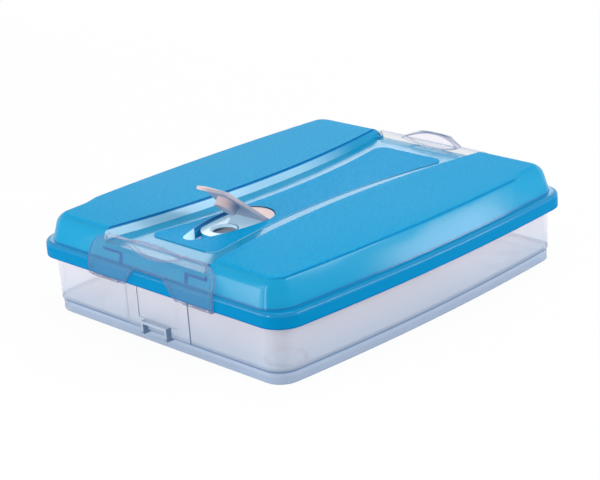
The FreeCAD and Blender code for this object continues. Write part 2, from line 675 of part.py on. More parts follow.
def lid_core():
    """The space under the lid: inside the skirt, round the sealing ring, and up into the dome."""
    body = new_body("lid_core")
    ring_outer = "(Sizes.tray_wall + Sizes.ring_gap)"
    ring_inner = "(Sizes.tray_wall + Sizes.ring_gap + Sizes.ring_wall)"
    ring_bottom = f"({SHOULDER_UNDERSIDE} - Sizes.ring_depth)"

    def ring_outline(name, level, extra):
        return outline(body, name, level, inset(HALF_WIDTH, "Sizes.tray_side_inset", extra),
                       inset(HALF_LENGTH, "Sizes.tray_end_inset", extra),
                       inset("Sizes.tray_corner", extra))

    pad(body, "under_shoulder",
        outline(body, "under_shoulder_outline", "(Sizes.skirt_bottom - 1)",
                inset(HALF_WIDTH, "Sizes.skirt_wall"), inset(HALF_LENGTH, "Sizes.skirt_wall"),
                inset("Sizes.lid_corner", "Sizes.skirt_wall")),
        f"{SHOULDER_UNDERSIDE} - Sizes.skirt_bottom + 1")
    # Shallow reliefs inside the skirt leave room for the ribs that hold the clips' rods.
    relief = new_sketch(body, "relief_outlines", "XY_Plane", "(Sizes.skirt_bottom - 1)")
    near_x, far_x = "(Sizes.rib_start - 2)", "(Sizes.rib_start + Sizes.rib_spacing + Sizes.rib_width + 2)"
    low_y = f"({HALF_LENGTH} - 2 * Sizes.skirt_wall)"
    high_y = f"({HALF_LENGTH} - Sizes.relief_wall)"
    for sx in (1, -1):
        for sy in (1, -1):
            xs, ys = sorted((sx, 2 * sx)), sorted((sy, 2 * sy))
            x_at = {sx: f"({sx} * {near_x})", 2 * sx: f"({sx} * {far_x})"}
            y_at = {sy: f"({sy} * {low_y})", 2 * sy: f"({sy} * {high_y})"}
            polygon(relief, box_points(x_at[xs[0]], x_at[xs[1]], y_at[ys[0]], y_at[ys[1]]),
                    f"r{sx + 1}{sy + 1}")
    pad(body, "reliefs", relief, "Sizes.relief_top - Sizes.skirt_bottom + 1")
    # The ring stands in this space, so its outline is cut out of it and its inside put back.
    pocket(body, "ring", ring_outline("ring_outer_outline", SHOULDER_UNDERSIDE, ring_outer),
           "Sizes.ring_depth")
    pad(body, "inside_ring", ring_outline("ring_inner_outline", ring_bottom, ring_inner),
        "Sizes.ring_depth + Sizes.lid_wall")
    roof = "(Sizes.plateau_level + 2 * Sizes.crown_rise)"
    thick = "Sizes.lid_slope_wall"
    loft(body, "under_dome", "Additive",
         dome_section(body, "under_dome_base", "Sizes.shoulder_top", thick),
         dome_section(body, "under_dome_roof", roof, thick))
    crown = new_sketch(body, "under_crown_outline", "XZ_Plane")
    polygon(crown, crown_points("Sizes.lid_wall"))
    pocket(body, "under_crown", crown, "2 * Sizes.lid_length", midplane=True)
    # The walls of the channel, of the ledges at its ends and of the vent's pocket.
    loft(body, "under_channel", "Subtractive",
         channel_section(body, "under_channel_low", "(Sizes.channel_floor - Sizes.lid_wall)", thick),
         channel_section(body, "under_channel_high", f"({CROWN_TOP} + 6)", thick))
    ledge_level = "(Sizes.channel_floor - Sizes.ledge_drop - Sizes.lid_wall)"
    half = "(Sizes.channel_waist + 0.7 * Sizes.channel_flare + Sizes.lid_wall)"
    for end, sign in (("near", "-1 *"), ("far", "1 *")):
        reach = [f"({sign} ({HALF_LENGTH} - Sizes.ledge_reach - Sizes.lid_wall))",
                 f"({sign} {HALF_LENGTH})"]
        if end == "near":
            reach.reverse()
        ledge = new_sketch(body, f"under_{end}_ledge_outline", "XY_Plane", ledge_level)
        polygon(ledge, box_points(f"-{half}", half, *reach))
        pocket(body, f"under_{end}_ledge", ledge, "20", reverse=True)
    pocket(body, "under_vent", vent_outline(body, "under_vent_outline",
                                            f"({POCKET_FLOOR} - Sizes.lid_wall)",
                                            "(-1 * Sizes.boss_wall)"), "20", reverse=True)
    scoop_boss = scoop_space("scoop_boss", f"({SCOOP_FLOOR} - Sizes.lid_wall)", "Sizes.boss_wall")
    return boolean("Cut", "lid_core_with_scoop", body, scoop_boss)


# ---------------------------------------------------------------- vent
def vent_outline(body, name, level, extra, tip_gap="0"):
    """Outline of the vent: a wide round end and a narrow one, joined by long arcs.

    It is drawn in by extra all round, and by tip_gap more at its tip.
    """
    sketch = new_sketch(body, name, "XY_Plane", level)
    wide_y = "(Sizes.vent_wide_inset - Sizes.lid_length / 2)"
    tip_y = f"(Sizes.vent_tip_inset - Sizes.lid_length / 2 + {tip_gap})"
    wide, tip = inset("Sizes.vent_wide_radius", extra), inset("Sizes.vent_tip_radius", extra)
    side = inset("Sizes.vent_side_radius", extra)
    cx, wy, ty = worth(VENT_X), worth(wide_y), worth(tip_y)
    rw, rt, rs = worth(wide), worth(tip), worth(side)
    span = wy - ty
    to_wide, to_tip = rs - rw, rs - rt
    along = (span ** 2 + to_wide ** 2 - to_tip ** 2) / (2 * span)
    across = math.sqrt(to_wide ** 2 - along ** 2)
    wide_centre, tip_centre = FreeCAD.Vector(cx, wy, 0), FreeCAD.Vector(cx, ty, 0)
    joints = {}
    for sign in (1, -1):
        centre = FreeCAD.Vector(cx - sign * across, wy - along, 0)
        start, end = point_on(centre, wide_centre, rs), point_on(centre, tip_centre, rs)
        joints[sign] = [start, end, point_on(centre, (start + end) * 0.5, rs)]
    edges = [Part.Arc(joints[1][0], wide_centre + FreeCAD.Vector(0, rw, 0), joints[-1][0]),
             Part.Arc(joints[-1][0], joints[-1][2], joints[-1][1]),
             Part.Arc(joints[-1][1], tip_centre - FreeCAD.Vector(0, rt, 0), joints[1][1]),
             Part.Arc(joints[1][1], joints[1][2], joints[1][0])]
    join(sketch, edges, "Tangent")
    for index, y, radius, prefix in ((0, wide_y, wide, "wide"), (2, tip_y, tip, "tip")):
        for kind, expression, axis in (("DistanceX", VENT_X, "x"), ("DistanceY", y, "y")):
            size = worth(expression)
            if abs(size) < 1e-9:
                fixed = -2 if axis == "x" else -1
                sketch.addConstraint(Sketcher.Constraint("PointOnObject", index, 3, fixed))
            elif size > 0:
                bind(sketch, kind, (-1, 1, index, 3), expression, f"{prefix}_{axis}")
            else:
                bind(sketch, kind, (index, 3, -1, 1), f"-({expression})", f"{prefix}_{axis}")
        bind(sketch, "Radius", (index,), radius, f"{prefix}_radius")
    bind(sketch, "Radius", (1,), side, "side_radius")
    sketch.addConstraint(Sketcher.Constraint("Equal", 1, 3))
    return sketch


def vent_tool():
    """The vent's pocket, its finger scoop, and the holes for the steam and the anchor's stud."""
    body = new_body("vent_space")
    pad(body, "pocket_space", vent_outline(body, "pocket_outline", POCKET_FLOOR, "0"),
        "Sizes.pocket_depth + 2")
    for name, y, radius in (("steam_hole", HOLE_Y, "Sizes.hole_radius"),
                            ("stud_hole", "(Sizes.stud_inset - Sizes.lid_length / 2)",
                             "(Sizes.stud_radius + Sizes.stud_gap)")):
        sketch = new_sketch(body, f"{name}_circle", "XY_Plane", f"({POCKET_FLOOR} - 8)")
        circle(sketch, VENT_X, y, radius)
        pad(body, name, sketch, "9")
    return boolean("Fuse", "vent_space_with_scoop", body, scoop_space("scoop", SCOOP_FLOOR, "0"))


def scoop_space(name, level, extra):
    """Crescent between the vent's tip and an arc about the steam hole, grown by extra."""
    body = new_body(f"{name}_space")
    pad(body, name, vent_outline(body, f"{name}_outline", level, f"(-1 * {extra})"), "10")
    disc = new_sketch(body, f"{name}_disc", "XY_Plane", f"({level} - 1)")
    circle(disc, VENT_X, HOLE_Y, f"(Sizes.scoop_radius - {extra})")
    pocket(body, f"{name}_arc", disc, "20", reverse=True)
    rest = new_sketch(body, f"{name}_rest", "XY_Plane", f"({level} - 1)")
    polygon(rest, box_points("-50", "50", HOLE_Y, f"({HOLE_Y} + 50)"))
    pocket(body, f"{name}_end", rest, "20", reverse=True)
    return body


def make_vent():
    """Anchor and flap: one soft moulding, split here at its living hinge."""
    anchor = new_body("vent_anchor")
    pad(anchor, "anchor_plate", vent_outline(anchor, "anchor_outline", FLAP_LOW, "Sizes.flap_gap"),
        "Sizes.flap_thickness")
    far, under, over = f"({HINGE_Y} - 80)", f"({FLAP_AXIS} - 20)", f"({FLAP_AXIS} + 20)"
    step = f"({HINGE_Y} + Sizes.hinge_set_back)"
    cut = new_sketch(anchor, "hinge_step_outline", "YZ_Plane")
    polygon(cut, [(far, under), (HINGE_Y, under), (HINGE_Y, FLAP_AXIS), (step, FLAP_AXIS),
                  (step, over), (far, over)])
    pocket(anchor, "hinge_step", cut, "200", midplane=True)
    groove = new_sketch(anchor, "hinge_groove_circle", "YZ_Plane")
    circle(groove, HINGE_Y, FLAP_AXIS, "(Sizes.flap_thickness / 2 + Sizes.hinge_gap)")
    pocket(anchor, "hinge_groove", groove, "200", midplane=True)
    stud_y = "(Sizes.stud_inset - Sizes.lid_length / 2)"
    head_top = f"({POCKET_FLOOR} - Sizes.lid_wall - Sizes.flap_lift)"
    for name, top, length, radius in (
            ("stud", f"({FLAP_LOW} + 0.2)",
             f"({FLAP_LOW} + 0.2 - {head_top} + Sizes.stud_head / 2)", "Sizes.stud_radius"),
            ("stud_head", head_top, "Sizes.stud_head", "Sizes.stud_head_radius")):
        sketch = new_sketch(anchor, f"{name}_circle", "XY_Plane", top)
        circle(sketch, VENT_X, stud_y, radius)
        pad(anchor, name, sketch, length, reverse=True)

    # The flap lies in the pocket while it is built, then swings open about the hinge.
    bend_y = f"({HINGE_Y} - Sizes.flap_bend_reach)"
    root = flap_piece("flap_root", bend_y, HINGE_Y)
    end = new_sketch(root, "hinge_end_circle", "YZ_Plane", f"({VENT_X} - Sizes.hinge_width / 2)")
    circle(end, HINGE_Y, FLAP_AXIS, "Sizes.flap_thickness / 2")
    pad(root, "hinge_end", end, "Sizes.hinge_width")
    plug = []
    plug_radius = "(Sizes.hole_radius - Sizes.plug_gap)"
    for name, level, radius in (("plug_top", f"({FLAP_LOW} + 0.2)", plug_radius),
                                ("plug_tip", f"({FLAP_LOW} - Sizes.plug_length)",
                                 f"({plug_radius} - Sizes.plug_taper)")):
        sketch = new_sketch(root, name, "XY_Plane", level)
        circle(sketch, VENT_X, HOLE_Y, radius)
        plug.append(sketch)
    loft(root, "plug", "Additive", *plug)
    tip = flap_piece("flap_tip", f"({HINGE_Y} - 80)", bend_y)
    swing(tip, FreeCAD.Vector(1, 0, 0), "Sizes.flap_bend", bend_y,
          f"({FLAP_LOW} + Sizes.flap_thickness)")
    flap = boolean("Fuse", "vent_flap", root, tip)
    swing(flap, FreeCAD.Vector(-1, 0, 0), "Sizes.flap_open", HINGE_Y, FLAP_AXIS)
    return anchor, flap


def flap_piece(name, low_y, high_y):
    """The part of the flap's plate that lies between two places along it."""
    body = new_body(name)
    pad(body, f"{name}_plate", vent_outline(body, f"{name}_outline", FLAP_LOW, "Sizes.flap_gap",
                                            "Sizes.flap_tip_gap"), "Sizes.flap_thickness")
    for side, start, end in (("near", f"({low_y} - 100)", low_y), ("far", high_y, f"({high_y} + 100)")):
        cut = new_sketch(body, f"{name}_{side}_cut", "XY_Plane", f"({FLAP_LOW} - 1)")
        polygon(cut, box_points("-50", "50", start, end), f"{side}_")
        if side == "far" or worth(end) > worth(f"({HINGE_Y} - {FLAP_LENGTH})"):
            pocket(body, f"{name}_{side}_end", cut, "10", reverse=True)
        else:
            doc.removeObject(cut.Name)
    return body


def swing(piece, axis, angle, y, z):
    """Turn a piece about a line along X through (y, z); axis is X or -X."""
    sign = "1" if axis.x > 0 else "-1"
    piece.Placement = FreeCAD.Placement(FreeCAD.Vector(), FreeCAD.Rotation(axis, worth(angle)))
    piece.setExpression("Placement.Rotation.Angle", angle)
    piece.setExpression("Placement.Base.y",
                        f"{y} - ({y} * cos({angle}) - {sign} * {z} * sin({angle}))")
    piece.setExpression("Placement.Base.z",
                        f"{z} - ({sign} * {y} * sin({angle}) + {z} * cos({angle}))")
    doc.recompute()


# ---------------------------------------------------------------- clips
def bend_end(offset):
    """Where the clip's bend ends, on the surface that is offset outside its outer face."""
    radius = f"(Sizes.clip_bend_radius + {offset})"
    return (f"({CLIP_FACE} - Sizes.clip_bend_radius + {radius} * cos(Sizes.clip_lean))",
            f"(Sizes.clip_bend_level + {radius} * sin(Sizes.clip_lean))")


def lean_reach(offset, level):
    """How far out the leaning part of that surface is at a level."""
    reach, start = bend_end(offset)
    return f"({reach} - ({level} - {start}) * tan(Sizes.clip_lean))"


def hook_reach(level):
    """How far out the hook's underside is at a level: it lies along the keeper's slope."""
    return (f"({HALF_LENGTH} - Sizes.keeper_front_inset + Sizes.hook_gap / sin(Sizes.keeper_slope)"
            f" - ({level} - Sizes.keeper_edge_level) / tan(Sizes.keeper_slope))")


def make_clip():
    """Snap clip of the far end: a bent plate with a bead, an arch, two rods, a hook and a tab."""
    body = new_body("clip_plate")
    bead = "Sizes.bead_proud"
    inner = f"({HALF_LENGTH} + Sizes.clip_gap)"
    under = "(-1 * Sizes.clip_wall)"
    top, bend = "Sizes.clip_top", "Sizes.clip_bend_level"
    skin = new_sketch(body, "skin_outline", "YZ_Plane")
    polygon(skin, [
        (inner, "Sizes.clip_bottom"),
        (f"({CLIP_FACE} + {bead})", "Sizes.clip_bottom"),
        (f"({CLIP_FACE} + {bead})", bend, f"(Sizes.clip_bend_radius + {bead})"),
        bend_end(bead),
        (lean_reach(bead, top), top),
        (lean_reach(under, top), top),
        (*bend_end(under), "(Sizes.clip_wall - Sizes.clip_bend_radius)"),
        (inner, bend),
    ])
    pad(body, "skin", skin, "Sizes.clip_width", midplane=True)

    # Rounded top corners and the arch are cut through from the front.
    half, corner = "(Sizes.clip_width / 2)", "Sizes.clip_corner"
    front = f"(-1 * {HALF_LENGTH})"
    corners = new_sketch(body, "corner_outlines", "XZ_Plane", front)
    for sign, side in (("", "right"), ("-", "left")):
        points = [(f"{sign}({half} - {corner})", top, f"-1 * {corner}" if not sign else corner),
                  (f"{sign}{half}", f"({top} - {corner})"),
                  (f"{sign}({half} + 1)", f"({top} - {corner})"),
                  (f"{sign}({half} + 1)", f"({top} + 1)"),
                  (f"{sign}({half} - {corner})", f"({top} + 1)")]
        polygon(corners, points, f"{side}_")
    pocket(body, "corners", corners, "60", midplane=True)
    arch = new_sketch(body, "arch_outline", "XZ_Plane", front)
    polygon(arch, [("(-1 * Sizes.arch_width / 2)", "(Sizes.clip_bottom - 1)"),
                   ("(Sizes.arch_width / 2)", "(Sizes.clip_bottom - 1)"),
                   ("(Sizes.arch_top_width / 2)", "Sizes.arch_top"),
                   ("(-1 * Sizes.arch_top_width / 2)", "Sizes.arch_top")])
    pocket(body, "arch", arch, "60", midplane=True)
    arch_half, arch_top = worth("Sizes.arch_top_width / 2"), worth("Sizes.arch_top")
    round_edges(body, "arch_round", "Sizes.arch_rounding",
                lambda edge: lies_at(edge, arch_top) and edge.BoundBox.XLength < 0.01
                and abs(abs(edge.BoundBox.XMin) - arch_half) < 0.01)
    hook = new_sketch(body, "hook_outline", "YZ_Plane")
    start = "Sizes.keeper_edge_level"
    middle = "(-0.5 * Sizes.clip_wall)"
    polygon(hook, [(hook_reach(start), start), (lean_reach(middle, start), start),
                   (lean_reach(middle, top), top), (hook_reach(top), top)])
    pad(body, "hook", hook, "Sizes.hook_width", midplane=True)
    make_rods(body, inner)

    # The field inside the bead is sunk to the plate's own face.
    depth = new_body("clip_field_depth")
    sunk = new_sketch(depth, "field_depth_outline", "YZ_Plane")
    polygon(sunk, [(CLIP_FACE, "(Sizes.clip_bottom - 1)"), (f"({CLIP_FACE} + 9)", "(Sizes.clip_bottom - 1)"),
                   (f"({CLIP_FACE} + 9)", top), (lean_reach("0", top), top),
                   (*bend_end("0"), "-1 * Sizes.clip_bend_radius"), (CLIP_FACE, bend)])
    pad(depth, "field_depth", sunk, "Sizes.clip_width", midplane=True)
    face = new_body("clip_field_face")
    field = new_sketch(face, "field_face_outline", "XZ_Plane", front)
    wide, low = f"({half} - Sizes.bead_width)", "(Sizes.clip_bottom - 1)"
    high = f"({top} - Sizes.bead_width)"
    turn = f"({corner} - Sizes.bead_width)"
    arch_high = "(Sizes.arch_top + Sizes.bead_width)"
    arch_low = "(Sizes.arch_width / 2 + Sizes.bead_width)"
    arch_in = "(Sizes.arch_top_width / 2 + Sizes.bead_width / 2)"
    polygon(field, [
        (f"-{wide}", low), (f"-{arch_low}", low), (f"-{arch_in}", arch_high), (arch_in, arch_high),
        (arch_low, low), (wide, low), (wide, f"({top} - {corner})", turn),
        (f"({half} - {corner})", high), (f"-({half} - {corner})", high, turn),
        (f"-{wide}", f"({top} - {corner})")])
    pad(face, "field_face", field, "60", midplane=True)
    plate = boolean("Cut", "clip_with_field", body, boolean("Common", "clip_field", depth, face))

    # Where the finger tab rises, the plate's section gives way to the tab's, in a lens outline.
    lens = new_body("tab_lens")
    tab_half = "(Sizes.tab_width / 2)"
    rim = new_sketch(lens, "lens_outline", "XZ_Plane", front)
    drop, rise = "Sizes.tab_scoop_drop", "Sizes.tab_rise"
    polygon(rim, [(f"-{tab_half}", top, f"(({tab_half} ^ 2 + {drop} ^ 2) / (2 * {drop}))"),
                  (tab_half, top, f"(({tab_half} ^ 2 + {rise} ^ 2) / (2 * {rise}))")])
    pad(lens, "lens", rim, "60", midplane=True)
    section = new_body("tab_section")
    bottom, scoop = f"({top} - {drop} - 1)", f"({top} - {drop})"
    tilt, wall = "Sizes.tab_tilt", "Sizes.tab_wall"
    tip = (f"({lean_reach('0', top)} + Sizes.tab_flare)", f"({top} + {rise} - {wall} * sin({tilt}))")
    back = (f"({tip[0]} - {wall} * cos({tilt}))", f"({top} + {rise})")
    tab = new_sketch(section, "tab_outline", "YZ_Plane")
    polygon(tab, [(hook_reach(bottom), bottom), (lean_reach("0", bottom), bottom),
                  (lean_reach("0", scoop), scoop, "-1 * Sizes.tab_scoop_radius"), tip, back,
                  (f"({back[0]} - {rise} * tan({tilt}))", top), (hook_reach(top), top)])
    pad(section, "tab", tab, "Sizes.tab_width", midplane=True)
    plate = boolean("Cut", "clip_with_lens", plate, lens)
    return boolean("Fuse", "far_clip", plate, boolean("Common", "clip_tab", section, lens))


def make_rods(body, inner):
    """Straps that pass under the skirt's edge, slotted at the tray's ribs, with the rods at their ends."""
    low = "(Sizes.clip_bottom - Sizes.strap_thickness)"
    strap = new_sketch(body, "strap_outline", "YZ_Plane", "Sizes.rod_start")
    bend = "Sizes.strap_thickness"
    polygon(strap, [(PIVOT_REACH, low), (f"({CLIP_FACE} - {bend})", low, bend),
                    (CLIP_FACE, "Sizes.clip_bottom"), (CLIP_FACE, "(Sizes.clip_bottom + 0.5)"),
                    (inner, "(Sizes.clip_bottom + 0.5)"), (inner, "Sizes.clip_bottom"),
                    (PIVOT_REACH, "Sizes.clip_bottom")])
    length = "(Sizes.rod_end - Sizes.rod_start)"
    straps = pad(body, "strap", strap, length)
    slots = new_sketch(body, "slot_outlines", "XY_Plane", f"({low} - 1)")
    for count in (0, 1):
        start = f"(Sizes.rib_start + {count} * Sizes.rib_spacing)"
        polygon(slots, box_points(f"({start} - Sizes.rib_gap)",
                                  f"({start} + Sizes.rib_width + Sizes.rib_gap)",
                                  f"({PIVOT_REACH} - 1)", f"({PIVOT_REACH} + Sizes.strap_slot)"),
                f"s{count}")
    gaps = pocket(body, "slots", slots, "Sizes.strap_thickness + 1.5", reverse=True)
    rod = new_sketch(body, "rod_circle", "YZ_Plane", "Sizes.rod_start")
    circle(rod, PIVOT_REACH, "Sizes.pivot_level", "Sizes.rod_radius")
    rods = pad(body, "rod", rod, length)
    mirror = body.newObject("PartDesign::Mirrored", "other_rod")
    mirror.Originals = [straps, gaps, rods]
    mirror.MirrorPlane = (origin_plane(body, "YZ_Plane"), [""])
    body.Tip = mirror
    doc.recompute()


tray = make_tray()
lid = make_lid()
vent_anchor, vent_flap = make_vent()
far_clip = make_clip()
near_clip = doc.addObject("Part::Mirroring", "near_clip")
near_clip.Source = far_clip
near_clip.Normal = FreeCAD.Vector(0, 1, 0)
doc.recompute()

for item in doc.Objects:
    if any(state in item.State for state in ("Invalid", "Error")):
        raise RuntimeError(f"{item.Name} does not build: {item.State}")

os.makedirs("parts", exist_ok=True)
for node in (tray, lid, near_clip, far_clip, vent_anchor, vent_flap):
    shape = node.Shape
    if shape.isNull() or not shape.isValid() or len(shape.Solids) != 1:
        raise RuntimeError(f"{node.Label} is not one sound solid")
    shape.exportStep(f"parts/{node.Label}.step")
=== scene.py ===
import math

import bmesh
import bpy
from mathutils import Matrix, Vector


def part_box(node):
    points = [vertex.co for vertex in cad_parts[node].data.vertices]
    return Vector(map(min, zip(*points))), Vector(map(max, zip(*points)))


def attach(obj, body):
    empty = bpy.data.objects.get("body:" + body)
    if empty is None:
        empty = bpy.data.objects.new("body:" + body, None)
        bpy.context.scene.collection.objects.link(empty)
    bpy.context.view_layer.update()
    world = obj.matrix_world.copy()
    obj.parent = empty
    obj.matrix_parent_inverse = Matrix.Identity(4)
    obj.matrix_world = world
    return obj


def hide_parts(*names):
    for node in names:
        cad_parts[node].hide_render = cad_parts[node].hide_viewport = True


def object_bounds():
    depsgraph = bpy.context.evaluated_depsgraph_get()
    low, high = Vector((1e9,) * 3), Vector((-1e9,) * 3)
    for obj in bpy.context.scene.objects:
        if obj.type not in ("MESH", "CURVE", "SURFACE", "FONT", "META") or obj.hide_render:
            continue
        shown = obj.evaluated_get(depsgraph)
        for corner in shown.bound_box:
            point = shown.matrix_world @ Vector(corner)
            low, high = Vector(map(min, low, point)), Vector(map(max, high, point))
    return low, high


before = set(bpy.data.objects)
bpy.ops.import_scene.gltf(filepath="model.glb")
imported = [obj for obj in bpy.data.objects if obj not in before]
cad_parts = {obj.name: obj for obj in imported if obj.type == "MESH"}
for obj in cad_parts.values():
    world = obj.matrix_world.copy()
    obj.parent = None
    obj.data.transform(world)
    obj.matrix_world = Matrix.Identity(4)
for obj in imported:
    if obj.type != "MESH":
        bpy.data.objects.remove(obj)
cad_low, cad_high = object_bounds()

# ---- Camera: it looks down along the container from the right of its near end, with a long
# lens, so that the short end with the vent and one long side both show.
VIEW_TURN = math.radians(45.9)
VIEW_DROP = math.radians(20.3)
VIEW_ROLL = math.radians(-4.0)
EYE = Vector((0.6935, -0.6770, 0.3850))
SENSOR_WIDTH = 36       # mm
FOCAL_LENGTH = 105.6    # mm

forward = Vector((-math.sin(VIEW_TURN) * math.cos(VIEW_DROP),
                  math.cos(VIEW_TURN) * math.cos(VIEW_DROP),
                  -math.sin(VIEW_DROP)))
level_right = Vector((math.cos(VIEW_TURN), math.sin(VIEW_TURN), 0))
level_up = level_right.cross(forward)
camera_right = level_right * math.cos(VIEW_ROLL) + level_up * math.sin(VIEW_ROLL)
camera_up = level_up * math.cos(VIEW_ROLL) - level_right * math.sin(VIEW_ROLL)
camera_data = bpy.data.cameras.new("camera")
camera_data.sensor_width = SENSOR_WIDTH
camera_data.lens = FOCAL_LENGTH
camera = bpy.data.objects.new("camera", camera_data)
camera.matrix_world = Matrix.Translation(EYE) @ Matrix(
    (camera_right, camera_up, -forward)).transposed().to_4x4()
bpy.context.scene.collection.objects.link(camera)
bpy.context.scene.camera = camera
bpy.context.scene.view_settings.view_transform = "Standard"


# ---- Studio: a floor of white paper, a white surround and seven soft lamps. The surround is
# plain white to the eye and in reflections, and a calmer grey as a light.
class Socket:
    """An output socket that adds Math nodes when it is used in an expression."""

    def __init__(self, nodes, output):
        self.nodes, self.output = nodes, output

    def math(self, operation, *values):
        return self.nodes.node("ShaderNodeMath", {"operation": operation}, values)

    def __add__(self, other):
        return self.math("ADD", self, other)

    def __radd__(self, other):
        return self.math("ADD", other, self)

    def __sub__(self, other):
        return self.math("SUBTRACT", self, other)

    def __rsub__(self, other):
        return self.math("SUBTRACT", other, self)

    def __mul__(self, other):
        return self.math("MULTIPLY", self, other)

    def __rmul__(self, other):
        return self.math("MULTIPLY", other, self)

    def __truediv__(self, other):
        return self.math("DIVIDE", self, other)

    def __abs__(self):
        return self.math("ABSOLUTE", self)

    def __gt__(self, other):
        return self.math("GREATER_THAN", self, other)

    def __lt__(self, other):
        return self.math("LESS_THAN", self, other)

    def root(self):
        return self.math("SQRT", self)

    def clamped(self):
        """Kept between 0 and 1."""
        return self.math("MINIMUM", self.math("MAXIMUM", self, 0.0), 1.0)

    def step(self, start, end):
        """Rises smoothly from 0 at start to 1 at end, which may be the lower of the two."""
        ramp = ((self - start) / (end - start)).clamped()
        return ramp * ramp * (3 - 2 * ramp)


class Nodes:
    """The node tree of a material or the world, filled by one method."""

    # A Mix node repeats its sockets' names for each type, so those for colours go by number.
    MIX_FACTOR, MIX_FIRST, MIX_SECOND, MIX_RESULT = 0, 6, 7, 2

    def __init__(self, tree):
        self.tree = tree
        tree.nodes.clear()

    def node(self, kind, settings=None, values=(), output=0):
        """Adds a node, sets its properties and its inputs, and returns one of its outputs."""
        made = self.tree.nodes.new(kind)
        for name, value in (settings or {}).items():
            setattr(made, name, value)
        items = values.items() if isinstance(values, dict) else enumerate(values)
        for name, value in items:
            entry = made.inputs[name]
            if isinstance(value, Socket):
                self.tree.links.new(value.output, entry)
            else:
                entry.default_value = (*value, 1) if entry.type == "RGBA" else value
        return Socket(self, made.outputs[output])

    def mix(self, factor, first, second):
        """A colour between two colours."""
        return self.node("ShaderNodeMix", {"data_type": "RGBA"}, {
            self.MIX_FACTOR: factor, self.MIX_FIRST: first, self.MIX_SECOND: second},
            self.MIX_RESULT)

    def layers(self, colour, *coats):
        """A colour with others laid over it in turn, each as strongly as its mask says."""
        for mask, coat in coats:
            colour = self.mix(mask, colour, coat)
        return colour

    def noise(self, place, scale, detail, roughness):
        return self.node("ShaderNodeTexNoise", {}, {
            "Vector": place, "Scale": scale, "Detail": detail, "Roughness": roughness})

    def bump(self, height, strength, distance):
        return self.node("ShaderNodeBump", {}, {
            "Height": height, "Strength": strength, "Distance": distance}, "Normal")

    def plastic(self, sockets):
        return self.node("ShaderNodeBsdfPrincipled", {}, sockets)

    def surface(self, shader, kind="ShaderNodeOutputMaterial"):
        """Sends a shader to the output."""
        self.tree.links.new(shader.output, self.tree.nodes.new(kind).inputs["Surface"])

    def place(self):
        """Where a point is on its piece, in metres."""
        return self.node("ShaderNodeTexCoord", output="Object")

    def normal(self):
        """The way the surface faces. It turns with its piece."""
        return self.node("ShaderNodeTexCoord", output="Normal")

    def part(self, vector, axis):
        return self.node("ShaderNodeSeparateXYZ", {}, [vector], axis)


def new_material(name):
    material = bpy.data.materials.new(name)
    material.use_nodes = True
    return material, Nodes(material.node_tree)


WHITE = (1.0, 1.0, 1.0)
DAYLIGHT, DAYLIGHT_STRENGTH = (0.97, 0.98, 1.0), 0.62
PAPER_WHITE = (0.92, 0.93, 0.95)
PAPER_GLOW = 0.93       # the share of plain white that the eye sees; the rest shows the shadow
FLOOR_REACH = 6.0
FLOOR_GAP = 0.0004      # below the container, so that floor and foot never share a plane

surround = bpy.data.worlds.new("studio")
surround.use_nodes = True
bpy.context.scene.world = surround
nodes = Nodes(surround.node_tree)
to_eye, to_gloss, through_glass = [
    nodes.node("ShaderNodeLightPath", output=name)
    for name in ("Is Camera Ray", "Is Glossy Ray", "Is Transmission Ray")]
plain = nodes.node("ShaderNodeBackground", {}, {"Color": WHITE, "Strength": 1.0})
grey = nodes.node("ShaderNodeBackground", {}, {"Color": DAYLIGHT, "Strength": DAYLIGHT_STRENGTH})
nodes.surface(nodes.node("ShaderNodeMixShader", {}, [
    (to_eye + to_gloss + through_glass).clamped(), grey, plain]), "ShaderNodeOutputWorld")

floor_mesh = bpy.data.meshes.new("floor")
floor_corners = [(side * FLOOR_REACH, end * FLOOR_REACH, 0)
                 for side, end in ((-1, -1), (1, -1), (1, 1), (-1, 1))]
floor_mesh.from_pydata(floor_corners, [], [(0, 1, 2, 3)])
floor = bpy.data.objects.new("floor", floor_mesh)
floor.location.z = cad_low.z - FLOOR_GAP
bpy.context.scene.collection.objects.link(floor)

paper, nodes = new_material("paper")
paper_face = nodes.node("ShaderNodeBsdfDiffuse", {}, {"Color": PAPER_WHITE})
paper_glow = nodes.node("ShaderNodeEmission", {}, {"Color": WHITE, "Strength": 1.0})
to_eye = nodes.node("ShaderNodeLightPath", output="Is Camera Ray")
nodes.surface(nodes.node("ShaderNodeMixShader", {}, [to_eye * PAPER_GLOW, paper_face, paper_glow]))
floor_mesh.materials.append(paper)

